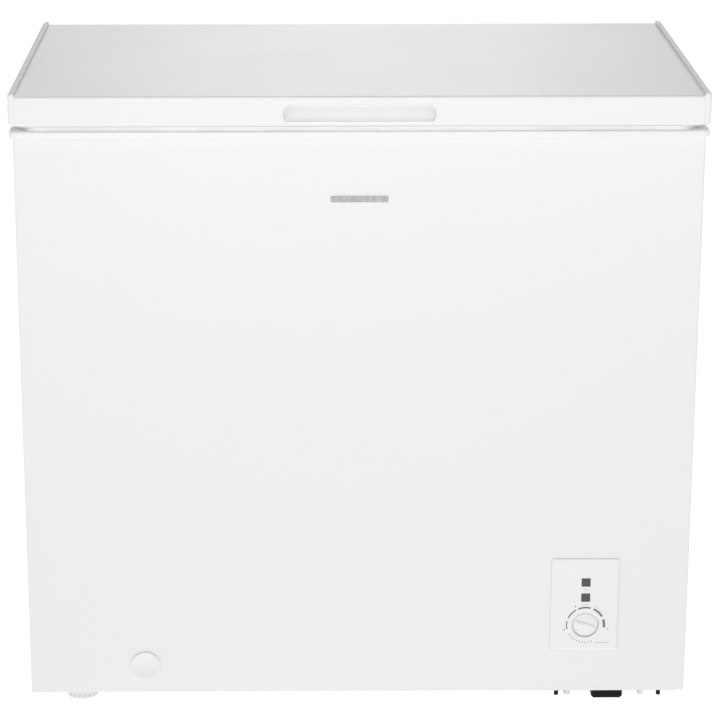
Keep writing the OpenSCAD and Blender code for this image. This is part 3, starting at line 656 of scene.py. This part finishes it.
def seal_profile():
    """The seal's section, as steps inward from the outer edge, carried round the lid."""
    lo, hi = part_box("lid_gasket")
    y = (lo.y + hi.y) / 2
    w, d = hi.x - lo.x, hi.y - lo.y
    top, low = hi.z, lo.z
    outer = [(0, top), (0, top - 1 * MM), (-0.5, top - 1.5 * MM), (-0.9, top - 2 * MM),
             (-0.9, top - 2.6 * MM), (-0.4, top - 3.3 * MM), (-0.4, low + 1.2 * MM), (0.1, low + 0.5 * MM),
             (0.9, low + 0.15 * MM)]
    foot = [(0.9, low), (-9, low), (-9.6, low + 0.4 * MM), (-10.2, low), (-16.2, low),
            (-17.4, low + 0.5 * MM)]
    inner = [(-17.7, top - 3.9 * MM), (-17.1, top - 3 * MM), (-17.4, top - 2.2 * MM), (-18.6, top - 1.7 * MM),
             (-25.4, top - 1.3 * MM), (-26, top - 0.7 * MM), (-26, top)]
    rings = [rounded(0, y, w + 2 * out * MM, d + 2 * out * MM, (28 + out) * MM, z, 10)
             for out, z in outer + foot + inner]
    bm = bmesh.new()
    skin(bm, rings, loop=True)
    piece("seal_profile", bm, "lid", "gasket_rubber", "lid_gasket")


lid_inner_panel()
seal_profile()

# ---------------------------------------------------------------- stage, lights, camera


def stage_floor():
    """A wide pale disc, lit from within so that it stays white."""
    radius = 40
    bm = bmesh.new()
    skin(bm, [[(radius * math.cos(a), radius * math.sin(a), z) for a in circle(96)] for z in (-0.02, 0.0)])
    mesh = bpy.data.meshes.new("floor")
    bmesh.ops.recalc_face_normals(bm, faces=bm.faces)
    bm.to_mesh(mesh)
    bm.free()
    made = bpy.data.objects.new("floor", mesh)
    scene.collection.objects.link(made)
    s = Shader("studio_floor", (0.4, 0.4, 0.4), 0.8, gloss=0.1)
    s.tint(s.noise(0.8, 3), 0.99, 1.0)
    s.roughen(s.noise(20, 3), 0.75, 0.85)
    s.bsdf.inputs["Emission Color"].default_value = (1, 1, 1, 1)
    s.bsdf.inputs["Emission Strength"].default_value = 0.9
    mesh.materials.append(s.material)


def area_light(name, at, towards, size, power):
    data = bpy.data.lights.new(name, "AREA")
    data.shape, data.size, data.size_y, data.energy = "RECTANGLE", size[0], size[1], power
    made = bpy.data.objects.new(name, data)
    made.location = at
    made.rotation_mode = "QUATERNION"
    made.rotation_quaternion = (Vector(towards) - Vector(at)).to_track_quat("-Z", "Y")
    made.visible_camera = False
    scene.collection.objects.link(made)


def studio_world():
    """An even room that darkens sideways, with a soft glow low behind the object."""
    world = bpy.data.worlds.new("studio")
    scene.world = world
    world.use_nodes = True
    tree = world.node_tree
    backdrop = tree.nodes["Background"]
    backdrop.inputs["Color"].default_value = (1, 1, 1, 1)
    sky = tree.nodes.new("ShaderNodeTexCoord")
    way = tree.nodes.new("ShaderNodeSeparateXYZ")
    tree.links.new(sky.outputs["Generated"], way.inputs["Vector"])

    def maths(kind, a, b):
        """A math node; b is another node's output or a number."""
        made = tree.nodes.new("ShaderNodeMath")
        made.operation = kind
        tree.links.new(a, made.inputs[0])
        if isinstance(b, float):
            made.inputs[1].default_value = b
        else:
            tree.links.new(b, made.inputs[1])
        return made.outputs[0]

    def fade(value, near, far, at_near, at_far):
        """A smooth step from one value to another."""
        made = tree.nodes.new("ShaderNodeMapRange")
        made.interpolation_type = "SMOOTHSTEP"
        for key, number in (("From Min", near), ("From Max", far), ("To Min", at_near), ("To Max", at_far)):
            made.inputs[key].default_value = number
        tree.links.new(value, made.inputs["Value"])
        return made.outputs["Result"]

    def aside(middle_x):
        """Distance sideways from a direction."""
        return maths("ABSOLUTE", maths("SUBTRACT", way.outputs["X"], middle_x), 0.0)

    room = fade(aside(0.0), 0.05, 0.9, 0.5, 0.36)
    across = fade(aside(0.02), 0.0, 0.25, 1.4, 0.0)
    behind = fade(way.outputs["Y"], 0.0, 0.6, 0.0, 1.0)
    low = fade(way.outputs["Z"], 0.12, 0.42, 1.0, 0.0)
    glow = maths("MULTIPLY", maths("MULTIPLY", across, behind), low)
    tree.links.new(maths("ADD", room, glow), backdrop.inputs["Strength"])


def photo_camera():
    """The photo's view, from in front and a little above."""
    data = bpy.data.cameras.new("camera")
    data.sensor_width = 36
    data.lens = 136.94
    data.shift_x = 0.0547
    data.clip_start, data.clip_end = 0.05, 200
    viewer = bpy.data.objects.new("camera", data)
    scene.collection.objects.link(viewer)
    yaw, pitch, roll = math.radians(0.4), math.radians(17.13), math.radians(0.064)
    forward = Vector((math.sin(yaw) * math.cos(pitch), math.cos(yaw) * math.cos(pitch), -math.sin(pitch)))
    level = Vector((math.cos(yaw), -math.sin(yaw), 0))
    down = forward.cross(level)
    right = math.cos(roll) * level + math.sin(roll) * down
    turn = Matrix((right, -forward.cross(right), -forward)).transposed()
    viewer.matrix_world = Matrix.Translation((-0.0748, -3.7261, 1.5576)) @ turn.to_4x4()
    scene.camera = viewer


stage_floor()
studio_world()
area_light("key", (-0.25, -1.75, 1.95), (0.02, 0, 0.6), (0.9, 0.7), 7.6)
area_light("fill", (0.25, -3.2, 0.35), (0, 0, 0.35), (1.6, 1.2), 7)
photo_camera()
scene.view_settings.view_transform = "Standard"
scene.view_settings.look = "None"
